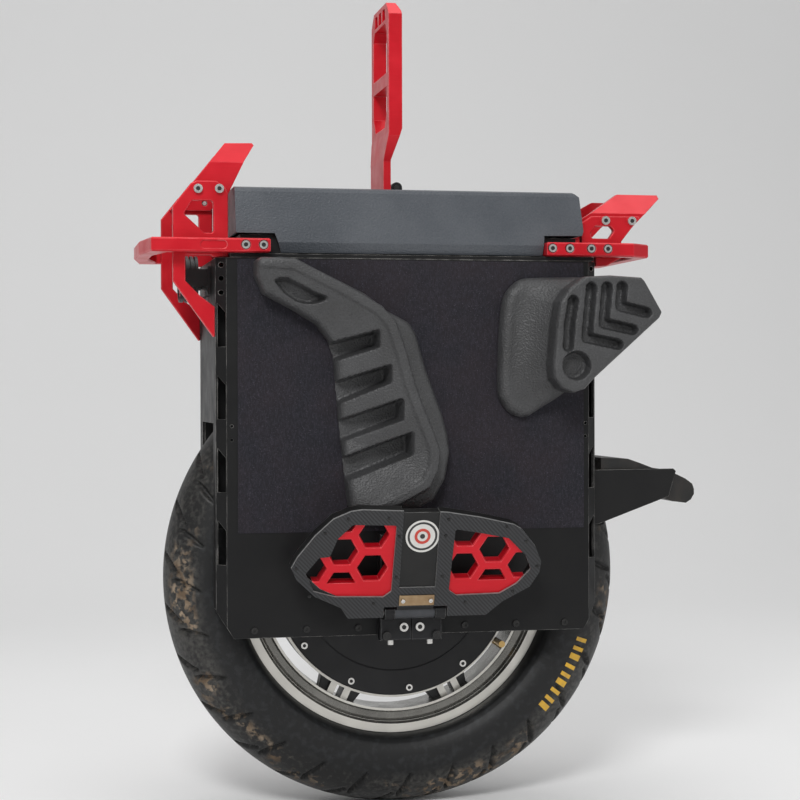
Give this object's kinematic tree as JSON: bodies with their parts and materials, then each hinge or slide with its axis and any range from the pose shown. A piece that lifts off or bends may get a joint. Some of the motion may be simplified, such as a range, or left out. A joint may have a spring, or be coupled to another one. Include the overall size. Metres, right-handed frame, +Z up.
{
  "type": "electric unicycle",
  "caption": "One-wheeled self-balancing ride-on with a tall boxed body, folding pedals, leg pads, bumpers and a fold-down trolley handle.",
  "frame": {"origin": "on the ground, at the middle of the footprint of the whole machine; the axle is 31.25 mm towards the front", "axes": "+Z up, -X the direction of travel, -Y the rider's left"},
  "size_m": [0.6176, 0.3298, 0.869],
  "materials": {
    "tyre": "matte with dust",
    "rim_alloy": "satin cast",
    "brass": "dull",
    "motor_black": "satin black",
    "magnet": "nickel plated",
    "steel": "turned",
    "copper": "enamelled copper windings",
    "black_screw": "black oxide",
    "bright_screw": "stainless",
    "body_black": "fine textured powder coat",
    "hanger_black": "satin anodised",
    "grip_tape": "gritty",
    "battery_wrap": "shrink wrap",
    "heat_sink_alloy": "extruded",
    "circuit": "lacquered board",
    "cover_grey": "fine leather grain",
    "button": "polished",
    "red_alloy": "red anodised",
    "pedal_black": "satin black",
    "carbon": "twill weave",
    "pad": "grained moulded foam",
    "lamp_black": "moulded",
    "lens": "clear",
    "fender": "moulded"
  },
  "bodies": {
    "chassis": {"axle": "steel", "battery_left": "battery_wrap", "battery_right": "battery_wrap", "body_screws": "black_screw", "controller": "circuit", "deck_plate": "body_black", "front_bumper": "red_alloy", "front_cover": "body_black", "front_fin_left": "red_alloy", "front_fin_right": "red_alloy", "front_guard_left": "red_alloy", "front_guard_right": "red_alloy", "grip_tape_left": "grip_tape", "grip_tape_right": "grip_tape", "guard_screws": "bright_screw", "handle_bracket": "hanger_black", "handle_pin": "steel", "hanger_bolts": "bright_screw", "headlight_bracket": "hanger_black", "heat_sink": "heat_sink_alloy", "heel_pad_left": "pad", "heel_pad_right": "pad", "mudguard_bracket": "body_black", "mudguard_flap": "fender", "pedal_hanger_left": "hanger_black", "pedal_hanger_right": "hanger_black", "pedal_hinge_pins": "steel", "rear_bumper": "red_alloy", "rear_cover": "body_black", "rear_fin_left": "red_alloy", "rear_fin_right": "red_alloy", "rear_guard_left": "red_alloy", "rear_guard_right": "red_alloy", "shin_pad_left": "pad", "shin_pad_right": "pad", "side_plate_left": "body_black", "side_plate_right": "body_black", "stator_coils": "copper", "stator_core": "steel", "top_cover": "cover_grey", "wheel_arch": "body_black"},
    "wheel": {"tyre": "tyre", "rim": "rim_alloy", "valve_stem": "brass", "motor_shell": "motor_black", "rotor_magnets": "magnet", "motor_cover_left": "motor_black", "motor_cover_right": "motor_black", "motor_cover_screws": "bright_screw", "wheel_bearings": "steel"},
    "pedal_left": {"pedal_arm_left": "pedal_black", "pedal_inserts_left": "red_alloy", "pedal_plate_left": "carbon"},
    "pedal_right": {"pedal_arm_right": "pedal_black", "pedal_inserts_right": "red_alloy", "pedal_plate_right": "carbon"},
    "handle": {"handle_frame": "red_alloy"},
    "button": {"power_button": "button"},
    "headlight": {"headlight_housing": "lamp_black", "headlight_lens": "lens"}
  },
  "joints": [
    {"name": "wheel_spin", "type": "hinge", "parent": "chassis", "child": "wheel", "pos_m": [-0.03125, 0, 0.25], "axis": [0, 1, 0], "continuous": true},
    {"name": "pedal_left_fold", "type": "hinge", "parent": "chassis", "child": "pedal_left", "pos_m": [-0.03125, -0.121, 0.22], "axis": [1, 0, 0], "range_deg": [0, 64]},
    {"name": "pedal_right_fold", "type": "hinge", "parent": "chassis", "child": "pedal_right", "pos_m": [-0.03125, 0.121, 0.22], "axis": [-1, 0, 0], "range_deg": [0, 64]},
    {"name": "handle_fold", "type": "hinge", "parent": "chassis", "child": "handle", "pos_m": [-0.03075, 0, 0.6694], "axis": [0, 1, 0], "range_deg": [0, 90]},
    {"name": "button_press", "type": "slide", "parent": "chassis", "child": "button", "axis": [0, 0, -1], "range_m": [0, 0.002], "stiffness_N_per_m": 800},
    {"name": "headlight_tilt", "type": "hinge", "parent": "chassis", "child": "headlight", "pos_m": [-0.25525, 0, 0.57], "axis": [0, 1, 0], "range_deg": [-12, 12]}
  ]
}
